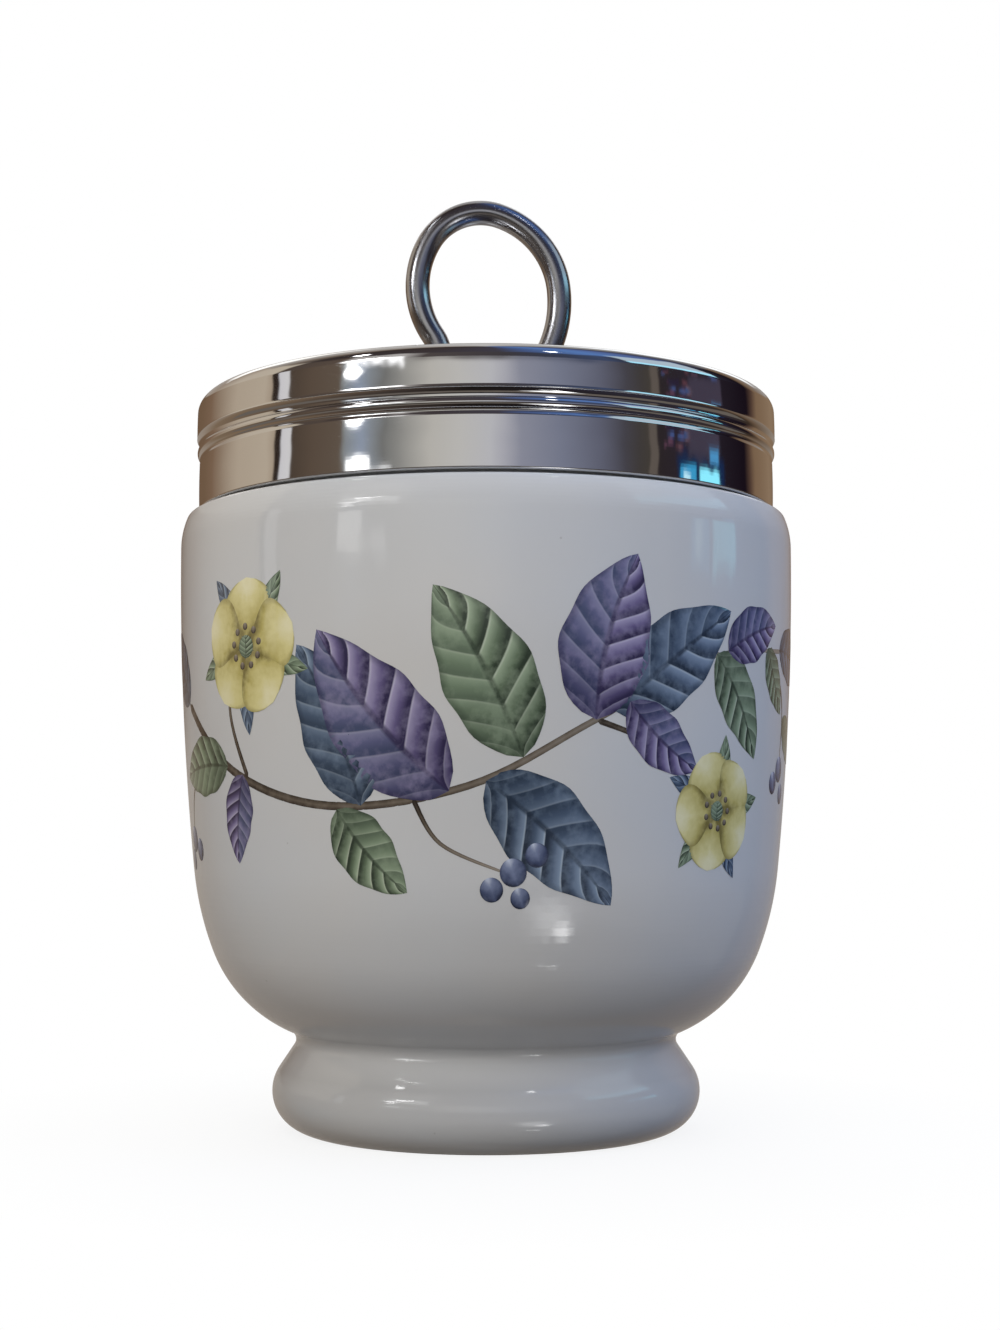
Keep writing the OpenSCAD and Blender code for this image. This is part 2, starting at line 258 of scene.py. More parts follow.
inkFilm = {
    "thick": 0.016,       # mm, the skin of each wash
    "layerStep": 0.008,   # mm from one wash to the next one over it
    "grain": 0.9,         # mm between the grains of the ink
    "pool": 4.5,          # mm between the pools of a wash
    "veins": 7.0,         # side veins on each half of a leaf
}


def underglazeInk(ink):
    # a transfer print in ceramic colours under the glaze: grainy washes with the same gloss over them
    shade, wash, light, vein, *halfTone = inks[ink]
    material, tree = newMaterial("underglaze " + ink)
    coords = addNode(tree, "TexCoord", {}).outputs["Object"]
    along = addNode(tree, "Attribute", {"attribute_name": "along"}).outputs["Fac"]
    across = addNode(tree, "Attribute", {"attribute_name": "across"}).outputs["Fac"]
    side = addNode(tree, "Math", {"operation": "ABSOLUTE", 0: across}).outputs["Value"]
    grain = addNode(tree, "TexNoise", {
        "Vector": coords, "Scale": 1 / (inkFilm["grain"] * mm), "Detail": 3.0})
    pool = addNode(tree, "TexNoise", {
        "Vector": coords, "Scale": 1 / (inkFilm["pool"] * mm), "Detail": 2.0})
    if halfTone:
        # side veins sweep towards the tip, and the wash fades from each vein to the next
        slant = addNode(tree, "Math", {"operation": "MULTIPLY_ADD", 0: side, 1: -0.17, 2: along})
        count = addNode(tree, "Math", {
            "operation": "MULTIPLY_ADD", 0: slant.outputs["Value"], 1: inkFilm["veins"], 2: 4.0})
        fold = addNode(tree, "Math", {"operation": "FRACT", 0: count.outputs["Value"]})
        drawn = setRamp(addNode(tree, "ValToRGB", {"Fac": fold.outputs["Value"]}), [
            (0.0, shade), (0.13, shade), (0.5, wash), (0.86, light), (0.94, vein), (1.0, shade)])
        # one half leans to the other tone, and the foot and the rib are dark
        layers = [(across, -0.06, 0.06, 0.0, 0.55, halfTone[0]), (along, 0.02, 0.45, 0.7, 0.0, shade),
                  (side, 0.03, 0.09, 0.8, 0.0, shade)]
    else:
        # petals, berries and stems are dark at the foot and the rim, and lighter between
        spread = addNode(tree, "Math", {
            "operation": "MULTIPLY_ADD", 0: side, 1: -0.35, 2: along})
        drift = addNode(tree, "Math", {
            "operation": "MULTIPLY_ADD", 0: grain.outputs["Fac"], 1: 0.3, 2: spread.outputs["Value"]})
        drawn = setRamp(addNode(tree, "ValToRGB", {"Fac": drift.outputs["Value"]}), [
            (0.12, shade), (0.38, wash), (0.72, light), (0.95, vein)])
        layers = []
    mottle = addNode(tree, "Math", {
        "operation": "MULTIPLY", 0: pool.outputs["Fac"], 1: grain.outputs["Fac"]}).outputs["Value"]
    # and every print is dark at its rim and worn pale in spots
    layers += [(side, 0.8, 0.97, 0.0, 0.55, shade), (mottle, 0.2, 0.42, 0.0, 0.38, light)]
    colour = drawn.outputs["Color"]
    for value, start, end, first, last, over in layers:
        mask = addNode(tree, "MapRange", {
            "Value": value, "From Min": start, "From Max": end, "To Min": first, "To Max": last})
        colour = addNode(tree, "Mix", {
            "data_type": "RGBA", 0: mask.outputs["Result"], 6: colour, 7: over}).outputs[2]
    shader = addNode(tree, "BsdfPrincipled", {
        "Base Color": colour, "Roughness": porcelain["roughness"], "IOR": 1.5,
        "Normal": glazeBump(tree, coords)})
    addNode(tree, "OutputMaterial", {"Surface": shader.outputs["BSDF"]})
    return material


plating = {
    "lid": "#CFCFD0",
    "wire": "#A8A9AE",    # painted shade: the same chromium drawn darker than the lid's, and duller
    "wave": 9.0,          # mm between the shallow waves of the pressed sheet
    "wireWave": 4.0,      # and between those of the wire
    "scratch": 0.12,      # mm between the polishing lines, drawn coarse enough to show
    "roughness": 0.035,
    "wireRoughness": 0.14,
    "stain": 6.0,         # mm across the faint stains
}


def chromiumPlate(name, colour, wave, strength, roughness):
    # buffed and chromium plated: a bright mirror with shallow waves and faint buffing lines
    material, tree = newMaterial(name)
    coords = addNode(tree, "TexCoord", {}).outputs["Object"]
    swell = addNode(tree, "TexNoise", {"Vector": coords, "Scale": 1 / (wave * mm), "Detail": 1.5})
    # buffing lines run round the lid, so the noise is squeezed along the height only
    flat = addNode(tree, "Mapping", {"Vector": coords, "Scale": (0.08, 0.08, 1.0)})
    lines = addNode(tree, "TexNoise", {
        "Vector": flat.outputs["Vector"], "Scale": 1 / (plating["scratch"] * mm), "Detail": 2.0})
    stain = addNode(tree, "TexNoise", {
        "Vector": coords, "Scale": 1 / (plating["stain"] * mm), "Detail": 4.0})
    gloss = addNode(tree, "MapRange", {
        "Value": stain.outputs["Fac"], "From Min": 0.35, "From Max": 0.75,
        "To Min": roughness, "To Max": roughness * 2.2})
    first = addNode(tree, "Bump", {
        "Height": swell.outputs["Fac"], "Strength": strength, "Distance": 0.12 * mm})
    second = addNode(tree, "Bump", {
        "Height": lines.outputs["Fac"], "Strength": 0.03, "Distance": 0.004 * mm,
        "Normal": first.outputs["Normal"]})
    shader = addNode(tree, "BsdfPrincipled", {
        "Base Color": colour, "Metallic": 1.0, "Roughness": gloss.outputs["Result"],
        "Normal": second.outputs["Normal"]})
    addNode(tree, "OutputMaterial", {"Surface": shader.outputs["BSDF"]})
    return material


# plain pressed steel with a thin dull plate: satin, with turning marks round the axis
innerMetal = {
    "dark": "#8F8E8B", "light": "#A9A8A5", "darkUpTo": 0.3,
    "grain": 0.35, "grainDetail": 3.0,       # mm between the turning marks
    "squeeze": (0.15, 0.15, 1.0),            # which run round, so they are stretched sideways
    "cloud": 5.0, "cloudDetail": 3.0,        # mm across the dull clouds of the plate
    "roughness": (0.3, 0.7, 0.26, 0.42),     # grain from and to, and the roughness at each
    "relief": 0.3, "reliefDeep": 0.02,       # strength, and mm
    "surface": {"Metallic": 1.0},
}

# die-cut sheet rubber: matt charcoal with a fine grain and a faint bloom
washerRubber = {
    "dark": "#2B2A2A", "light": "#3D3B39", "darkUpTo": 0.35,
    "grain": 0.3, "grainDetail": 2.0,        # mm between the grains of the sheet
    "squeeze": (1.0, 1.0, 1.0),
    "cloud": 4.0, "cloudDetail": 4.0,        # mm across the paler blooms
    "roughness": (0.0, 1.0, 0.6, 0.85),
    "relief": 0.4, "reliefDeep": 0.04,
    "surface": {"IOR": 1.52},
}


def grainedSurface(name, look):
    # a fine relief that also sets the shine, over pale clouds on a darker ground
    material, tree = newMaterial(name)
    coords = addNode(tree, "TexCoord", {}).outputs["Object"]
    flat = addNode(tree, "Mapping", {"Vector": coords, "Scale": look["squeeze"]}).outputs["Vector"]
    grain, cloud = (addNode(tree, "TexNoise", {
        "Vector": place, "Scale": 1 / (look[key] * mm), "Detail": look[key + "Detail"]}).outputs["Fac"]
        for key, place in (("grain", flat), ("cloud", coords)))
    tone = setRamp(addNode(tree, "ValToRGB", {"Fac": cloud}), [
        (look["darkUpTo"], look["dark"]), (0.7, look["light"])])
    gloss = addNode(tree, "MapRange", {
        "Value": grain, **dict(zip(("From Min", "From Max", "To Min", "To Max"), look["roughness"]))})
    bump = addNode(tree, "Bump", {
        "Height": grain, "Strength": look["relief"], "Distance": look["reliefDeep"] * mm})
    shader = addNode(tree, "BsdfPrincipled", {
        "Base Color": tone.outputs["Color"], "Roughness": gloss.outputs["Result"],
        "Normal": bump.outputs["Normal"], **look["surface"]})
    addNode(tree, "OutputMaterial", {"Surface": shader.outputs["BSDF"]})
    return material


boneChina = glazedBoneChina()
lidPlate = chromiumPlate(
    "chromium-plated pressed sheet", plating["lid"], plating["wave"], 0.24, plating["roughness"])
wirePlate = chromiumPlate(
    "chromium-plated drawn wire", plating["wire"], plating["wireWave"], 0.12, plating["wireRoughness"])
dullSteel = grainedSurface("dull plated steel", innerMetal)
rubber = grainedSurface("die-cut sheet rubber", washerRubber)
print("materials ready")


cup = {
    "widest": 37.1, "shoulderZ": 73.1, "wall": 3.2,
    "sideR": 370.0, "turnR": 38.0, "underR": 17.0, "underSlope": 21.1, "underZ": 10.3,
    "shoulderR": 9.0, "shoulderEdgeR": 0.8, "shoulderSlope": 22.0,
    "footR": 4.75, "footZ": 4.6, "footWidest": 25.6, "footSlope": 34.0, "waistR": 1.2,
    "restR": 19.3, "restEdgeR": 0.7, "recessH": 8.8, "recessEdgeR": 2.4,
    "neckR": 32.78, "rimZ": 85.91, "lipR": 1.0, "neckRootR": 0.6,
    "columns": 288,
}

thread = {
    "lead": 4.5, "height": 0.9, "root": 1.5, "crest": 0.8, "fade": 30.0,
    "neckStart": -45.0, "neckTurns": 1.25, "neckZ": 76.414,
    "sleeveTurns": 1.0, "sleeveZ": 75.12,
}


def ridgeHeight(angle, z, start, turns, firstZ):
    # height of the screw ridge at an angle in radians and a height in mm, with both ends run out
    best = 0.0
    for turn in range(-1, 3):
        degrees = math.degrees(angle) + 360 * turn
        along = degrees - start
        if not 0 <= along <= 360 * turns:
            continue
        away = abs(z - firstZ - thread["lead"] * degrees / 360)
        flank = (thread["root"] / 2 - away) / ((thread["root"] - thread["crest"]) / 2)
        flank = max(0.0, min(1.0, flank))
        ends = min(1.0, along / thread["fade"], (360 * turns - along) / thread["fade"])
        ends = ends * ends * (3 - 2 * ends)
        best = max(best, thread["height"] * ends * flank * flank * (3 - 2 * flank))
    return best


def bowlCentres():
    # centres of the side, turn and underside arcs, each tangent to the next, and of the waist's fillet
    c = cup
    slope = math.radians(c["shoulderSlope"])
    edgeZ = c["shoulderZ"] - c["shoulderEdgeR"]
    shoulderX = c["widest"] - c["shoulderR"]
    edgeX = shoulderX + (c["shoulderR"] - c["shoulderEdgeR"]) * math.cos(slope)
    widestZ = edgeZ - (c["shoulderR"] - c["shoulderEdgeR"]) * math.sin(slope)
    under = math.radians(c["underSlope"])
    sideX = c["widest"] - c["sideR"]
    underCZ = c["underZ"] + c["underR"]
    turnDrop = (c["turnR"] - c["underR"]) * math.sin(under)
    side = math.asin((widestZ - turnDrop - underCZ) / (c["sideR"] - c["turnR"]))
    turnX = sideX + (c["sideR"] - c["turnR"]) * math.cos(side)
    turnZ = widestZ - (c["sideR"] - c["turnR"]) * math.sin(side)
    underX = turnX + (c["turnR"] - c["underR"]) * math.cos(under)
    foot = math.radians(c["footSlope"])
    footX = c["footWidest"] - c["footR"]
    reach = c["footR"] + c["waistR"]
    guideX = footX + reach * math.cos(foot) - underX
    guideZ = c["footZ"] + reach * math.sin(foot) - underCZ
    dot = -guideX * math.sin(foot) + guideZ * math.cos(foot)
    run = -dot - math.sqrt(dot * dot - (guideX ** 2 + guideZ ** 2 - (c["underR"] + c["waistR"]) ** 2))
    waistX = underX + guideX - run * math.sin(foot)
    waistZ = underCZ + guideZ + run * math.cos(foot)
    return {
        "edge": (edgeX, edgeZ), "shoulder": (shoulderX, widestZ), "side": (sideX, widestZ),
        "sideAngle": math.degrees(side), "turn": (turnX, turnZ), "under": (underX, underCZ),
        "foot": (footX, c["footZ"]), "waist": (waistX, waistZ),
        "waistAngle": math.degrees(math.atan2(underCZ - waistZ, underX - waistX)),
    }


centres = bowlCentres()


def cupOutside():
    # from the middle of the recess round the foot and up to the inside of the mouth
    c, at = cup, centres
    recessR = c["restR"] - c["restEdgeR"]
    points = [(0, c["recessH"]), (recessR * 0.45, c["recessH"])]
    edgeR = c["recessEdgeR"]
    points += arc(recessR - edgeR, c["recessH"] - edgeR, edgeR, 90, 0, 14)
    points += arc(recessR + c["restEdgeR"], c["restEdgeR"], c["restEdgeR"], 180, 270, 8)
    start = -math.degrees(math.asin(c["footZ"] / c["footR"]))
    points += arc(*at["foot"], c["footR"], start, c["footSlope"], 34)
    points += arc(*at["waist"], c["waistR"], 180 + c["footSlope"], at["waistAngle"], 14)
    points += arc(*at["under"], c["underR"], at["waistAngle"] - 180, -c["underSlope"], 22)[1:]
    points += arc(*at["turn"], c["turnR"], -c["underSlope"], -at["sideAngle"], 12)[1:]
    points += arc(*at["side"], c["sideR"], -at["sideAngle"], 0, 26)[1:]
    points += arc(*at["shoulder"], c["shoulderR"], 0, c["shoulderSlope"], 8)[1:]
    points += arc(*at["edge"], c["shoulderEdgeR"], c["shoulderSlope"], 90, 10)[1:]
    neckLow = c["shoulderZ"] + c["neckRootR"]
    points += arc(c["neckR"] + c["neckRootR"], neckLow, c["neckRootR"], 270, 180, 8)
    neckHigh = c["rimZ"] - c["lipR"]
    rows = 92
    points += [(c["neckR"], neckLow + (neckHigh - neckLow) * i / rows) for i in range(1, rows)]
    points += arc(c["neckR"] - c["lipR"], c["rimZ"] - c["lipR"], c["lipR"], 0, 90, 12)
    return points


def cupInside():
    # from the mouth down over the drawn-in top and the slow wall to the middle of the floor
    c, at = cup, centres
    boreR = c["neckR"] - c["wall"]
    hollowR = c["widest"] - c["wall"] - 0.05
    swellR = (hollowR - boreR) / 2
    swellZ = c["shoulderZ"] - c["wall"]
    points = arc(boreR + c["lipR"], c["rimZ"] - c["lipR"], c["lipR"], 90, 180, 12)
    points += arc(boreR + swellR, swellZ + swellR, swellR, 180, 270, 12)
    points += arc(hollowR - swellR, swellZ - swellR, swellR, 90, 0, 12)[1:]
    points += arc(*at["side"], c["sideR"] - c["wall"], -1, -at["sideAngle"], 20)
    points += arc(*at["turn"], c["turnR"] - c["wall"], -at["sideAngle"], -c["underSlope"], 10)[1:]
    points += arc(*at["under"], c["underR"] - c["wall"], -c["underSlope"], -90, 24)[1:]
    points += [(8, c["underZ"] + c["wall"]), (0, c["underZ"] + c["wall"])]
    return points


def neckThread(angle, r, z):
    if abs(r - cup["neckR"]) > 0.001 or z < cup["shoulderZ"]:
        return r
    return r + ridgeHeight(angle, z, thread["neckStart"], thread["neckTurns"], thread["neckZ"])


def makeCup():
    outline = withSupports(cupOutside() + cupInside()[1:])
    vertices, faces = lathe(outline, cup["columns"], neckThread)
    piece = meshPiece("cupChina", vertices, faces, boneChina)
    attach(piece, "cup_body")
    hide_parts("cup")


makeCup()
print("cup ready")


def wallRadius(z):
    # outside radius of the china between the underside and the shoulder
    if z > cup["shoulderZ"] - 4:
        return cup["widest"]
    # the first arc from the top whose lower end lies under z
    for name, slope in (("side", centres["sideAngle"]), ("turn", cup["underSlope"]), ("under", 90)):
        (x, level), r = centres[name], cup[name + "R"]
        if z > level - r * math.sin(math.radians(slope)):
            break
    return x + math.sqrt(r ** 2 - (level - z) ** 2)


skins = {ink: {"points": [], "faces": [], "along": [], "across": []} for ink in inks}


def printPatch(ink, spine, halfWidths, layer, lanes=6):
    # a thin closed skin, laid on the wall along a spine of (distance round, height) in mm
    skin, last = skins[ink], len(spine) - 1
    top = inkFilm["thick"] + inkFilm["layerStep"] * layer
    middle, bottom = top - inkFilm["thick"] / 2, top - inkFilm["thick"]
    tops, bottoms = [], []
    for i, (s, z) in enumerate(spine):
        (s0, z0), (s1, z1) = spine[max(0, i - 1)], spine[min(last, i + 1)]
        length = math.hypot(s1 - s0, z1 - z0)

        def layPoint(share, lift):
            # share is -1 at one edge of the patch and 1 at the other
            out = share * halfWidths[i] / length
            way, up = s - (z1 - z0) * out, z + (s1 - s0) * out
            r, turn = wallRadius(up) + lift, way / cup["widest"]
            skin["points"].append((r * math.sin(turn), -r * math.cos(turn), up))
            skin["along"].append(i / last)
            skin["across"].append(share)
            return len(skin["points"]) - 1

        if i in (0, last):
            tops.append([layPoint(0.0, middle)] * (lanes + 1))
            bottoms.append(tops[-1])
            continue
        shares = [2 * k / lanes - 1 for k in range(lanes + 1)]
        tops.append([layPoint(share, top if abs(share) < 1 else middle) for share in shares])
        inner = [layPoint(share, bottom) for share in shares[1:-1]]
        bottoms.append([tops[-1][0], *inner, tops[-1][-1]])
    for grid, turned in ((tops, 1), (bottoms, -1)):
        for low, high in zip(grid, grid[1:]):
            for k in range(lanes):
                corners = uniqueCorners([low[k], high[k], high[k + 1], low[k + 1]][::turned])
                if len(corners) > 2:
                    skin["faces"].append(corners)


def bentLine(s, z, heading, length, bend, steps):
    # heading is in degrees from level, and bend is the turn from one end to the other
    points = [(s, z)]
    for i in range(steps):
        angle = math.radians(heading + bend * (i + 0.5) / steps)
        s, z = s + math.cos(angle) * length / steps, z + math.sin(angle) * length / steps
        points.append((s, z))
    return points


def printLeaf(ink, s, z, heading, length, width, bend=0.0, layer=1):
    # smooth-edged and lance-shaped, widest a little below the middle
    steps = 26
    halfWidths = []
    for i in range(steps + 1):
        share = i / steps
        wave = 1 + 0.035 * math.sin(share * 21 + s)
        halfWidths.append(0.5 * width * 2.87 * share ** 0.65 * (1 - share) ** 0.9 * wave)
    printPatch(ink, bentLine(s, z, heading, length, bend, steps), halfWidths, layer, 8)


def printDot(ink, s, z, r, layer, heading=90.0):
    # a round spot, used for berries, stamens and the eye of a blossom
    steps = 14
    shares = [(1 - math.cos(math.pi * i / steps)) / 2 for i in range(steps + 1)]
    a = math.radians(heading)
    spine = [(s + math.cos(a) * r * (2 * u - 1), z + math.sin(a) * r * (2 * u - 1)) for u in shares]
    printPatch(ink, spine, [r * math.sqrt(max(0.0, 1 - (2 * u - 1) ** 2)) for u in shares], layer)


def printBlossom(s, z, r, turn):
    # five round petals over five narrow sepals, with an eye and a ring of stamens
    for k in range(5):
        printLeaf("slate" if k % 2 else "sage", s, z, turn + 36 + 72 * k, r * 1.32, r * 0.46, 14, 2)
    steps = 18
    for k in range(5):
        heading = turn + 72 * k
        a = math.radians(heading)
        footS, footZ = s + 0.08 * r * math.cos(a), z + 0.08 * r * math.sin(a)
        spine = bentLine(footS, footZ, heading, 0.95 * r, 10, steps)
        widths = [0.53 * r * math.sin(math.pi * (i / steps) ** 1.45) ** 0.62 for i in range(1, steps)]
        printPatch("petal", spine, [0.0, *widths, 0.0], 3 if k % 2 else 4, 8)
    printDot("sage", s, z, 0.17 * r, 5)
    for k in range(9):
        a = math.radians(turn + 40 * k)
        printDot("stem", s + 0.3 * r * math.cos(a), z + 0.3 * r * math.sin(a), 0.055 * r, 5)


def onCurve(a, b, c, d, t):
    # a value on the smooth curve from b to c, with a before them and d after them
    bend = 2 * a - 5 * b + 4 * c - d + (3 * b - a - 3 * c + d) * t
    return 0.5 * (2 * b + (c - a) * t + bend * t * t)


def printStem(points, thick):
    # a smooth line through the points, thinning to its far end
    ends = [points[0]] + points + [points[-1]]
    steps = 9
    spine = []
    for near in zip(ends, ends[1:], ends[2:], ends[3:]):
        for i in range(steps):
            spine.append(tuple(onCurve(*(point[j] for point in near), i / steps) for j in (0, 1)))
    spine.append(points[-1])
    last = len(spine) - 1
    printPatch("stem", spine, [0.5 * thick * (1 - 0.55 * i / last) for i in range(last + 1)], 0, 4)


# the garland, drawn flat: distance round the cup from the front and height, both in mm
garland = {
    "stems": [
        (1.1, [(-45, 50), (-33, 42), (-18, 38), (-2, 40), (12, 47), (26, 54), (44, 56)]),
        (0.7, [(-30, 41), (-33, 49), (-30, 56)]),
        (0.7, [(12, 47), (20, 44), (27, 38)]),
        (0.6, [(-8, 38.7), (-5, 34), (2, 31)]),
        (0.6, [(40, 56.2), (45, 50), (45, 43)]),
        (0.6, [(-38, 45), (-45, 40), (-47, 35)]),
    ],
    "leaves": [
        # ink, foot, heading, length, width, bend, layer
        ("violet", 12, 47, 88, 18.5, 10.4, -26, 2),
        ("slate", 14, 48, 40, 20, 9.4, -10, 1),
        ("sage", 4, 43, 110, 20.5, 10.0, 16, 1),
        ("violet", -4, 39.5, 142, 23, 11.2, -22, 2),
        ("slate", -14, 38, 104, 19, 9.0, 20, 1),
        ("sage", -17, 37.6, -58, 12, 6.6, 22, 1),
        ("slate", 0, 40.5, -34, 19.5, 9.6, -16, 1),
        ("violet", 16, 49, -52, 12, 6.0, 30, 2),
        ("sage", 28, 54.6, -44, 14, 6.8, -20, 1),
        ("violet", 30, 55, 30, 12, 6.2, -24, 2),
        ("slate", 43, 56, 2, 14, 6.6, -22, 1),
        ("sage", -34, 42.5, 174, 14, 6.8, 20, 1),
        ("slate", -45, 50, 128, 13, 6.6, 18, 1),
        ("violet", -31, 41.5, -112, 10, 5.4, 24, 1),
        ("sage", 39, 56, -60, 9, 4.6, 12, 1),
        ("sage", 45.3, 48, -24, 9, 4.4, -16, 1),
    ],
    "blossoms": [(-29.5, 55.5, 7.4, 12), (29, 37.5, 6.4, 40)],
    "berries": [
        (3, 31, 1.5), (5.6, 32.8, 1.3), (0.6, 29.2, 1.3), (3.8, 28.3, 1.1), (45, 42.4, 1.5),
        (42.5, 40.8, 1.3), (46.6, 39.6, 1.2), (-47, 34.4, 1.5), (-44.3, 33.2, 1.3), (-48.6, 32, 1.2),
    ],
}


def layGarland(origin, flip):
    # the same garland twice round the cup, the second time turned about
    for thick, points in garland["stems"]:
        printStem([(origin + flip * s, z) for s, z in points], thick)
    for ink, s, z, heading, length, width, bend, layer in garland["leaves"]:
        heading = heading if flip > 0 else 180 - heading
        printLeaf(ink, origin + flip * s, z, heading, length, width, flip * bend, layer)
    for s, z, r, turn in garland["blossoms"]:
        printBlossom(origin + flip * s, z, r, turn)
    for s, z, r in garland["berries"]:
        printDot("berry", origin + flip * s, z, r, 2, 112)


def makePrint():
    layGarland(0, 1)
    layGarland(math.pi * cup["widest"], -1)
    for ink, skin in skins.items():
        piece = meshPiece(ink + "Print", skin["points"], skin["faces"], underglazeInk(ink))
        for name in ("along", "across"):
            layer = piece.data.attributes.new(name, "FLOAT", "POINT")
            layer.data.foreach_set("value", skin[name])
        piece.data.set_sharp_from_angle(angle=math.radians(60))
        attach(piece, "cup_body")


makePrint()
print("print ready:", sum(len(skin["faces"]) for skin in skins.values()), "faces")


lid = {
    "bottomZ": 73.6, "upperR": 35.35, "lowerR": 35.05, "sheet": 0.45, "height": 13.8,
    "lowerBandH": 6.0, "lowerEdgeR": 0.3, "creaseH": 0.45, "creaseDepth": 0.1,
    "beadR": 0.75, "beadOut": 0.23, "beadGap": 0.05, "coveR": 1.05, "coveDepth": 0.5,
    "topEdgeR": 1.75, "borderW": 4.0, "domeRise": 3.2, "hem": 0.4,
    "lowerCrown": 0.04,   # how far each band bows out between its edges
    "upperCrown": 0.02,
    "upperDraft": 0.04,   # how far the upper band narrows to its top
    "columns": 320,
}


def crownedBand(r, low, high, crown, draft=0.0, steps=14):
    # the bands bow very slightly, so each one mirrors a taller strip of the room
    points = []
    for i in range(steps + 1):
        share = i / steps
        points.append((r - crown * (2 * share - 1) ** 2 - draft * share, low + (high - low) * share))
    return points


def lidOutline():
    # outside from the hem up to the middle of the dome, then back down the inside
    d = lid
    borderZ = d["bottomZ"] + d["height"]
    beadZ = d["bottomZ"] + d["lowerBandH"] + d["creaseH"] + d["beadR"]
    coveZ = beadZ + d["beadR"] + d["beadGap"]
    coveX = d["upperR"] - d["coveDepth"] + d["coveR"]
    beadX = d["lowerR"] + d["beadOut"] - d["beadR"]
    creaseR = d["lowerR"] - d["creaseDepth"]
    neckR = d["upperR"] - d["coveDepth"]
    domeR = d["upperR"] - d["topEdgeR"] - d["borderW"]
    sphereR = (domeR ** 2 + d["domeRise"] ** 2) / (2 * d["domeRise"])
    sphereZ = borderZ + d["domeRise"] - sphereR
    bandTop = d["bottomZ"] + d["lowerBandH"]
    hemX = d["lowerR"] - d["lowerCrown"] - d["lowerEdgeR"]
    points = arc(hemX, d["bottomZ"] + d["lowerEdgeR"], d["lowerEdgeR"], -90, -4, 8)
    points += crownedBand(d["lowerR"], d["bottomZ"] + d["lowerEdgeR"], bandTop - 0.1, d["lowerCrown"])
    # the crease is rolled in as a narrow V, so it mirrors only the dark above and below
    points += [(d["lowerR"] - 0.08, bandTop)]
    points += [(creaseR - 0.04, bandTop + 0.2), (creaseR - 0.07, bandTop + 0.3)]
    beadStart = -math.degrees(math.acos((creaseR - beadX) / d["beadR"]))
    beadEnd = math.degrees(math.acos((neckR - beadX) / d["beadR"]))
    points += arc(beadX, beadZ, d["beadR"], beadStart, beadEnd, 16)
    coveEnd = 180 - math.degrees(math.acos((coveX - d["upperR"]) / d["coveR"]))
    points += arc(coveX, coveZ, d["coveR"], 180, coveEnd, 12)
    upperLow = coveZ + d["coveR"] * math.sin(math.radians(coveEnd)) + 0.06
    edgeZ = borderZ - d["topEdgeR"]
    points += crownedBand(d["upperR"], upperLow, edgeZ, d["upperCrown"], d["upperDraft"])
    edgeX = d["upperR"] - d["upperCrown"] - d["upperDraft"] - d["topEdgeR"]
    points += arc(edgeX, edgeZ, d["topEdgeR"], 4, 90, 22)
    domeEdge = math.degrees(math.acos(domeR / sphereR))
    points += arc(0, sphereZ, sphereR, domeEdge, 90, 30)
    sheetR = sphereR - d["sheet"]
    inner = arc(0, sphereZ, sheetR, 90, math.degrees(math.acos(domeR / sheetR)), 30)
    inner += arc(d["upperR"] - d["topEdgeR"], edgeZ, d["topEdgeR"] - d["sheet"], 90, 0, 12)
    outerCove = d["coveR"] + d["sheet"]
    innerEnd = 180 - math.degrees(math.acos((coveX - d["upperR"] + d["sheet"]) / outerCove))
    inner += arc(coveX, coveZ, outerCove, innerEnd, 180, 8)
    sleeveTop = beadZ + d["beadR"] / 2 + 0.02
    innerR, hemZ = d["lowerR"] - d["sheet"], d["bottomZ"] + d["hem"]
    inner += [(neckR - d["sheet"], sleeveTop), (innerR, sleeveTop)]
    inner += [(innerR, hemZ), (innerR - d["hem"] + 0.1, hemZ)]
    inner += arc(innerR - d["hem"] + 0.2, d["bottomZ"] + 0.2, 0.2, 90, 270, 8)
    return points + inner


def makeLid():
    vertices, faces = lathe(withSupports(lidOutline(), 0.05), lid["columns"], closed=True)
    piece = meshPiece("lidShell", vertices, faces, lidPlate)
    piece.data.set_sharp_from_angle(angle=math.radians(50))
    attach(piece, "lid")
    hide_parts("lid_cap")


makeLid()
print("lid ready")

sleeve = {"outR": 34.58, "inR": 34.08, "lowZ": 74.02, "highZ": 81.175, "edge": 0.12, "columns": 288}
washer = {"outR": 33.45, "inR": 29.73, "lowZ": 85.93, "highZ": 86.93, "edge": 0.12, "columns": 224}


def roundedCorners(d, steps):
    # the four corners of a ring's section, from the inner low one outwards and up
    e, low, high = d["edge"], d["lowZ"], d["highZ"]
    corners = [(d["inR"] + e, low + e, 180), (d["outR"] - e, low + e, 270),
               (d["outR"] - e, high - e, 0), (d["inR"] + e, high - e, 90)]
    return [arc(x, z, e, first, first + 90, steps) for x, z, first in corners]


def sleeveThread(angle, r, z):
    if abs(r - sleeve["inR"]) > 0.001:
        return r
    return r - ridgeHeight(angle, z, 0.0, thread["sleeveTurns"], thread["sleeveZ"])


def makeSleeve():
    # rolled from strip with the screw ridge pressed into it
    d, rows = sleeve, 64
    outline = sum(roundedCorners(d, 5), [])
    top, low = d["highZ"] - d["edge"], d["lowZ"] + d["edge"]
    outline += [(d["inR"], top + (low - top) * i / rows) for i in range(1, rows)]
    vertices, faces = lathe(outline, d["columns"], sleeveThread, True)
    piece = meshPiece("threadSleeve", vertices, faces, dullSteel)
    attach(piece, "lid")
    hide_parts("thread_ring")


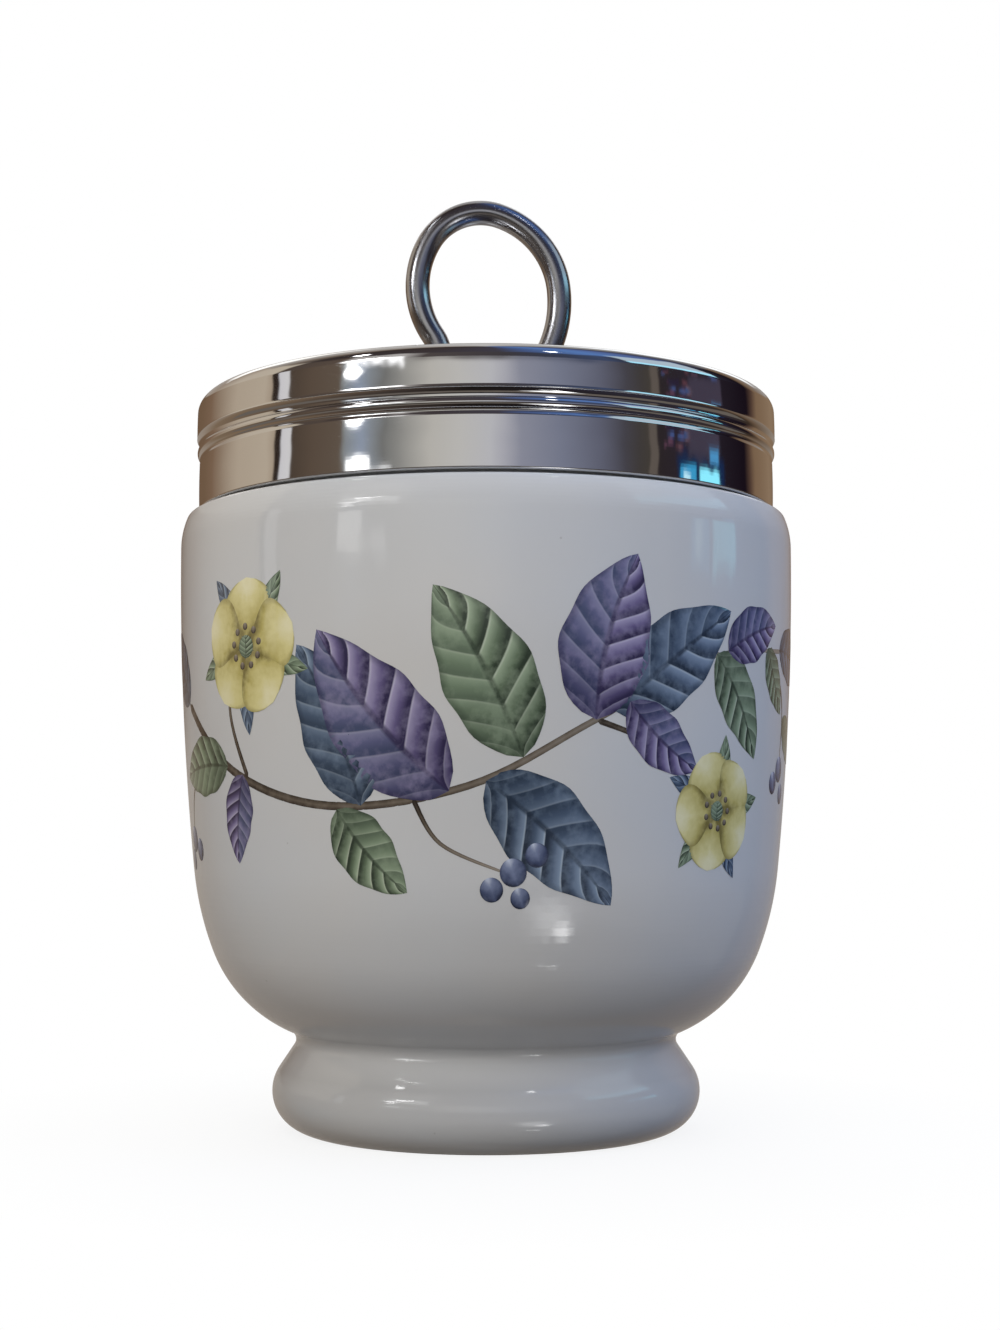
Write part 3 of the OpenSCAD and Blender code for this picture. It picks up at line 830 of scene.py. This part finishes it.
def makeWasher():
    # cut from sheet, so its edges are square with a slight round
    corners = roundedCorners(washer, 4)
    outline = sum([corners[-1]] + corners[:-1], [])
    vertices, faces = lathe(withSupports(outline, 0.1), washer["columns"], closed=True)
    piece = meshPiece("sealWasher", vertices, faces, rubber)
    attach(piece, "seal")
    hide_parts("sealing_washer")


makeSleeve()
makeWasher()
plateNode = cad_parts["backing_plate"]
plateNode.data.materials.clear()
plateNode.data.materials.append(dullSteel)
print("inside of the lid ready")


ring = {
    "wireR": 1.5, "legX": 6.8, "legTop": 91.6,
    # radius and turn of each stretch, from the right leg round to the left one; below 0 bends outwards
    "stretches": [(5, -28), (14.9, 34), (11.1, 64), (7.3, 80), (11.2, 64), (5, -34)],
    "headOut": 0.8, "headT": 0.9, "plateLowR": 137.21, "domeCentreZ": -47.9, "sides": 40,
}


def ringPath():
    # middle of the wire, up the right leg, over the top and down the left leg
    d = ring
    heading, x, z = 90.0, d["legX"], d["legTop"]
    bends = []
    for r, turn in d["stretches"]:
        side = 1 if turn > 0 else -1
        start = math.radians(heading)
        centreX, centreZ = x - side * r * math.sin(start), z + side * r * math.cos(start)
        first = heading - 90 * side
        bends += arc(centreX, centreZ, r, first, first + turn, max(8, int(abs(turn) / 2)))[1:]
        heading += turn
        x, z = bends[-1]
    legs = []
    for legX, top in ((d["legX"], d["legTop"]), (x, z)):
        foot = d["domeCentreZ"] + math.sqrt(d["plateLowR"] ** 2 - legX ** 2)
        legs.append([(legX, foot + (top - foot) * i / 10) for i in range(11)])
    return legs[0] + bends[:-1] + legs[1][::-1]


def makeRing():
    path = [Vector((x, 0, z)) for x, z in ringPath()]
    r, out, down, sides = ring["wireR"], ring["headOut"], ring["headT"], ring["sides"]
    # the riveted head is a low dome round the end of each leg
    head = [(0.0, -down), (r * 0.5, -down * 0.98), (r, -down * 0.86), (r + out * 0.6, -down * 0.5)]
    head += [(r + out * 0.95, -down * 0.18), (r + out, -0.05), (r + out * 0.9, -0.002), (r, -0.001)]
    up = Vector((0, 0, 1))
    loops = [(path[0] + up * drop, up, radius) for radius, drop in head]
    loops += [(path[i], (path[i + 1] - path[i - 1]).normalized(), r) for i in range(1, len(path) - 1)]
    loops += [(path[-1] + up * drop, -up, radius) for radius, drop in head[::-1]]
    vertices, rings = [], []
    for centre, along, radius in loops:
        if radius == 0:
            rings.append([len(vertices)] * sides)
            vertices.append(tuple(centre))
            continue
        rings.append(list(range(len(vertices), len(vertices) + sides)))
        outward = Vector((along.z, 0, -along.x))
        sideways = along.cross(outward)
        for k in range(sides):
            angle = 2 * math.pi * k / sides
            out = outward * math.cos(angle) + sideways * math.sin(angle)
            vertices.append(tuple(centre + out * radius))
    piece = meshPiece("liftingRing", vertices, joinRings(rings), wirePlate)
    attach(piece, "lid")
    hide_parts("lifting_ring")


makeRing()
print("ring ready")


stage = {
    "floorSeen": "#F2F2F1",    # the paper as the camera sees it
    "floorBounce": "#7C7976",  # and the duller tone that it throws up on the cup
    "nearGlow": 0.86,          # share of plain white in the paper beside the cup
    "glowFrom": 27,            # mm from the axis, where that share starts to grow
    "glowTo": 72,              # mm, beyond which the paper is all white
    "paperSize": 1500,         # mm from the middle to an edge
    "worldTint": "#E0E2E6",    # light from all round, which only matt surfaces see
    "worldLight": 0.3,
    "roomRadius": 1.6,         # m, a shell that only mirror surfaces and the glaze see
    "roomColumns": 720,
    "roomGlow": 1.6,           # the plating takes away more than a third of what it mirrors
    "wallTop": (19.2, 1.6),    # degrees up, and degrees over which the high wall takes over
    "ceilingFrom": (40, 8),
    "tableFrom": (6.5, 5),     # the same downwards
}

# the room that the plating mirrors, by azimuth from the camera, positive to the right
eyeLevel = [
    (-180, "#4E3C2E"), (-148, "#64503E"), (-136, "#705A48"), (-112, "#A69886"), (-93, "#AC9F8D"),
    (-89.6, "#A0917F"), (-88.9, "#2A211C"), (-86.6, "#2A211C"), (-85.9, "#C4C2C4"), (-80.8, "#C8C6C6"),
    (-80, "#483D34"), (-70, "#56493E"), (-57, "#5C5045"), (-55, "#7B7F80"), (-48, "#8690A0"),
    (-44, "#7E8388"), (-39, "#6E6E6C"), (-33, "#858480"), (-21, "#B0ADA6"), (-10, "#B5B3AF"),
    (2, "#B1B1B4"), (7, "#A3A3AA"), (13, "#858794"), (28, "#727687"), (44, "#5B5D6C"), (54, "#434148"),
    (60, "#3E3A39"), (64.2, "#403B36"), (65.2, "#5A524C"), (68.4, "#5A524C"), (69.2, "#2A2426"),
    (82, "#29232B"), (121, "#150E16"), (126, "#4E3B31"), (131, "#735D48"), (152, "#7A6652"),
    (180, "#4E3C2E"),
]
highWall = [
    (-180, "#8E8A87"), (-136, "#8E8072"), (-115, "#B0A494"), (-90, "#B4A998"), (-86, "#4A403A"),
    (-60, "#54483F"), (-56, "#A9A5A2"), (-34, "#A9A5A2"), (-24, "#4A4341"), (8, "#3C383C"),
    (24, "#363A48"), (48, "#3C4660"), (58, "#2C2E3A"), (103, "#26222C"), (121, "#150E16"),
    (128, "#6A5644"), (142, "#7E7268"), (160, "#8A8683"), (180, "#8E8A87"),
]
ceiling = [
    (-180, "#B4B2B0"), (-130, "#9A948E"), (-105, "#6E6258"), (-84, "#332C2A"), (-30, "#3A3334"),
    (6, "#3E3B44"), (20, "#44557E"), (52, "#5476AE"), (90, "#4E5E8C"), (118, "#3A3842"), (142, "#8C8A88"),
    (180, "#B4B2B0"),
]
tableTop = [
    (-180, "#8A8580"), (-148, "#86796C"), (-132, "#74624F"), (-110, "#6C5B4A"), (-80, "#54473C"),
    (-45, "#3A322E"), (-10, "#1A1614"), (30, "#1E1B1C"), (70, "#2A2730"), (105, "#2E2A30"),
    (124, "#33281F"), (132, "#5E4C3C"), (152, "#7C7064"), (180, "#8A8580"),
]
# azimuth from, to, elevation from, to, colour, strength, softness in degrees
roomPanes = [
    (-54.5, -44.5, 8.6, 11.6, "#FFFFFF", 1.7, 0.8),
    (-45.5, -36, 8.6, 9.8, "#E8E8E8", 1.2, 1.6),
    (-54, -32, 19.5, 28, "#FFFFFF", 1.5, 3.0),
    (78, 105, 7.5, 13, "#1B2C50", 0.8, 2.0),
    (84, 102, 13, 18, "#463F4E", 0.8, 2.0),
    (79, 87.5, 8.5, 11.8, "#3C9CCB", 0.9, 0.7),
    (81, 84.5, 9.0, 10.8, "#BFEFFF", 0.9, 0.8),
    (89.5, 102, 8.5, 11.8, "#86E2F6", 1.1, 0.7),
    (96, 101.5, 12.6, 14.2, "#58A8E0", 0.7, 0.9),
    (57, 103, 28, 50, "#B9CBD9", 0.8, 3.0),
    (57, 103, 22.5, 30, "#A0D8EC", 1.15, 2.0),
    (-118, 122, -27, -9, "#665F58", 0.9, 5.0),
    (146, 172, 28, 54, "#F4F6F8", 1.0, 6.0),
    (-166, -140, 32, 50, "#FFFDF8", 1.0, 6.0),
]
roomGlints = [
    (-55.5, -45.5, 16.1, 18.9, "#FFFFFF", 5.0, 0.7),
    (-58, -46, 19.5, 23, "#FFFFFF", 9.0, 1.0),
    (-52, -41, 23.5, 28, "#FFFFFF", 9.0, 1.0),
    (-44, -37, 25, 28, "#FFFFFF", 8.0, 1.0),
    (-68, -60, 49, 57, "#FFFFFF", 9.0, 1.5),
    (29, 36, 51, 56, "#FFFFFF", 7.0, 1.5),
    (22, 38, -45, -42.4, "#FFFFFF", 5.0, 1.2),
    (12, 41, -37, -17, "#FFFFFF", 2.0, 9.0),
    (26, 38, -35, -27, "#FFFFFF", 6.0, 3.5),
]
clutterColours = ["#5A3E4E", "#34507E", "#5E3C44", "#46598A", "#2A2236", "#6E5A62"]


def blend(stops, place):
    for (a, first), (b, second) in zip(stops, stops[1:]):
        if a <= place <= b:
            share = (place - a) / (b - a)
            return [first[i] + (second[i] - first[i]) * share for i in range(3)]
    return list(stops[-1][1][:3])


def eased(value):
    value = max(0.0, min(1.0, value))
    return value * value * (3 - 2 * value)


def makeRoomColour():
    walls, upper, top, low = (
        [(place, hexColour(colour)) for place, colour in stops]
        for stops in (eyeLevel, highWall, ceiling, tableTop))
    clutter = []
    for i in range(34):
        left, bottom = random.uniform(70, 100), random.uniform(12.4, 19)
        clutter.append((left, left + random.uniform(0.8, 4), bottom, bottom + random.uniform(0.4, 1.1),
                        random.choice(clutterColours), 0.9, 0.5))
    patches = [(*patch[:4], hexColour(patch[4]), *patch[5:], patch in roomGlints)
               for patch in clutter + roomPanes + roomGlints]
    (wallTop, wallSoft), (ceilingFrom, ceilingSoft), (tableFrom, tableSoft) = (
        stage[name] for name in ("wallTop", "ceilingFrom", "tableFrom"))

    def roomColour(azimuth, elevation):
        # walls at eye level, a darker band above them, the ceiling, and the table below
        waver = noise.noise(Vector((azimuth * 0.09, elevation * 0.35, 4.0)))
        colour = blend(walls, max(-180, min(180, azimuth + 1.3 * waver)))
        for other, share in ((upper, eased((elevation - wallTop - 0.4 * waver) / wallSoft)),
                             (top, eased((elevation - ceilingFrom - 5 * waver) / ceilingSoft)),
                             (low, eased((tableFrom - elevation) / tableSoft))):
            over = blend(other, azimuth) if share else colour
            colour = [colour[i] + (over[i] - colour[i]) * share for i in range(3)]
        for left, right, bottom, high, tone, strength, soft, glint in patches:
            wide, tall = (right - left) / 2, (high - bottom) / 2
            x, y = abs(azimuth - left - wide), abs(elevation - bottom - tall)
            if x > wide + 3 or y > tall + 3:
                continue
            # a pane has corners, a glint is oval, and both have ragged edges
            inside = min(wide - x, tall - y) + soft / 2
            if glint:
                inside = (1 - math.hypot(x / wide, y / tall)) * min(wide, tall)
            inside += (0.35 + 0.3 * soft) * noise.noise(Vector((azimuth * 0.3, elevation * 0.45, left)))
            share = eased(inside / soft)
            colour = [colour[i] + (tone[i] * strength - colour[i]) * share for i in range(3)]
        return colour
    return roomColour


def makeRoom():
    # rows stand close together only where the lid's bands look
    levels = [-90 + 1.5 * i for i in range(60)]
    levels += [0.4 * i for i in range(125)] + [50 + i for i in range(41)]
    columns = stage["roomColumns"]
    roomColour = makeRoomColour()
    vertices, rings, colours = [], [], []
    r = stage["roomRadius"] / mm
    for elevation in levels:
        out, up = r * math.cos(math.radians(elevation)), r * math.sin(math.radians(elevation))
        rings.append(range(len(vertices), len(vertices) + columns))
        for i in range(columns):
            azimuth = -180 + 360 * i / columns
            a = math.radians(azimuth)
            vertices.append((out * math.sin(a), -out * math.cos(a), up))
            colours += [*roomColour(azimuth, elevation), 1.0]
    material, tree = newMaterial("room mirrored in the plating")
    tint = addNode(tree, "Attribute", {"attribute_name": "roomTint"})
    glow = addNode(tree, "Emission", {"Color": tint.outputs["Color"], "Strength": stage["roomGlow"]})
    addNode(tree, "OutputMaterial", {"Surface": glow.outputs["Emission"]})
    shell = meshPiece("roomShell", vertices, joinRings(rings), material)
    layer = shell.data.color_attributes.new("roomTint", "FLOAT_COLOR", "POINT")
    layer.data.foreach_set("color", colours)
    shell.visible_camera = False
    shell.visible_diffuse = False
    shell.visible_shadow = False
    shell.visible_transmission = False


def makeFloor():
    # white paper that runs out to plain white, so only the cup's own shadow shows on it
    material, tree = newMaterial("matt white paper sweep")
    path = addNode(tree, "LightPath", {})
    tone = addNode(tree, "Mix", {
        "data_type": "RGBA", 0: path.outputs["Is Camera Ray"], 6: stage["floorBounce"],
        7: stage["floorSeen"]})
    paper = addNode(tree, "BsdfDiffuse", {"Color": tone.outputs[2]})
    white = addNode(tree, "Emission", {"Color": (1, 1, 1, 1), "Strength": 1.0})
    coords = addNode(tree, "TexCoord", {}).outputs["Object"]
    away = addNode(tree, "VectorMath", {"operation": "LENGTH", 0: coords}).outputs["Value"]
    fade = addNode(tree, "MapRange", {
        "Value": away, "From Min": stage["glowFrom"] * mm, "From Max": stage["glowTo"] * mm,
        "To Min": stage["nearGlow"], "To Max": 1.0})
    share = addNode(tree, "Math", {
        "operation": "MULTIPLY", 0: path.outputs["Is Camera Ray"], 1: fade.outputs["Result"]})
    mixed = addNode(tree, "MixShader", {
        0: share.outputs["Value"], 1: paper.outputs["BSDF"], 2: white.outputs["Emission"]})
    addNode(tree, "OutputMaterial", {"Surface": mixed.outputs["Shader"]})
    edge = stage["paperSize"]
    corners = [(-edge, -edge, 0), (edge, -edge, 0), (edge, edge, 0), (-edge, edge, 0)]
    floor = meshPiece("paperFloor", corners, [[0, 1, 2, 3]], material)
    floor.visible_glossy = False   # the glaze and the plating mirror the dark table of the room instead


def makeWorld():
    world = bpy.data.worlds.new("softStudio")
    bpy.context.scene.world = world
    world.use_nodes = True
    tree = world.node_tree
    tree.nodes.clear()
    path = addNode(tree, "LightPath", {})
    seen = addNode(tree, "Math", {
        "operation": "MAXIMUM", 0: path.outputs["Is Camera Ray"], 1: path.outputs["Is Glossy Ray"]})
    seenToo = addNode(tree, "Math", {
        "operation": "MAXIMUM", 0: seen.outputs["Value"], 1: path.outputs["Is Transmission Ray"]})
    light = addNode(tree, "Background", {
        "Color": stage["worldTint"], "Strength": stage["worldLight"]})
    white = addNode(tree, "Background", {"Color": (1, 1, 1, 1), "Strength": 1.0})
    mixed = addNode(tree, "MixShader", {
        0: seenToo.outputs["Value"], 1: light.outputs["Background"], 2: white.outputs["Background"]})
    addNode(tree, "OutputWorld", {"Surface": mixed.outputs["Shader"]})


lamps = [
    # name, place in m, size in m, watts, colour
    ("leftWindow", (-0.74, -0.64, 0.46), 0.7, 3.9, "#FFF9F2"),
    ("frontAbove", (0.0, -1.0, 0.6), 0.8, 4.8, "#FCFDFF"),
    ("rightSky", (0.92, -0.15, 0.7), 0.8, 5.8, "#9CC1FF"),
    ("overhead", (-0.1, -0.1, 1.2), 1.0, 2.8, "#FCFCFF"),
    ("backWall", (-0.1, 1.1, 0.6), 0.9, 8.0, "#FCFBFA"),
    ("rightBack", (0.85, 0.75, 0.5), 0.6, 2.6, "#FFFCF6"),
]


def makeLamps():
    for name, place, size, watts, colour in lamps:
        data = bpy.data.lights.new(name, "AREA")
        data.size = size
        data.energy = watts
        data.color = hexColour(colour)[:3]
        lamp = bpy.data.objects.new(name, data)
        lamp.location = place
        lamp.rotation_euler = (Vector((0, 0, 0.05)) - Vector(place)).to_track_quat("-Z", "Y").to_euler()
        lamp.visible_glossy = False
        bpy.context.scene.collection.objects.link(lamp)


makeRoom()
makeFloor()
makeWorld()
makeLamps()
bpy.context.scene.view_settings.view_transform = "Standard"
print("stage and light ready")
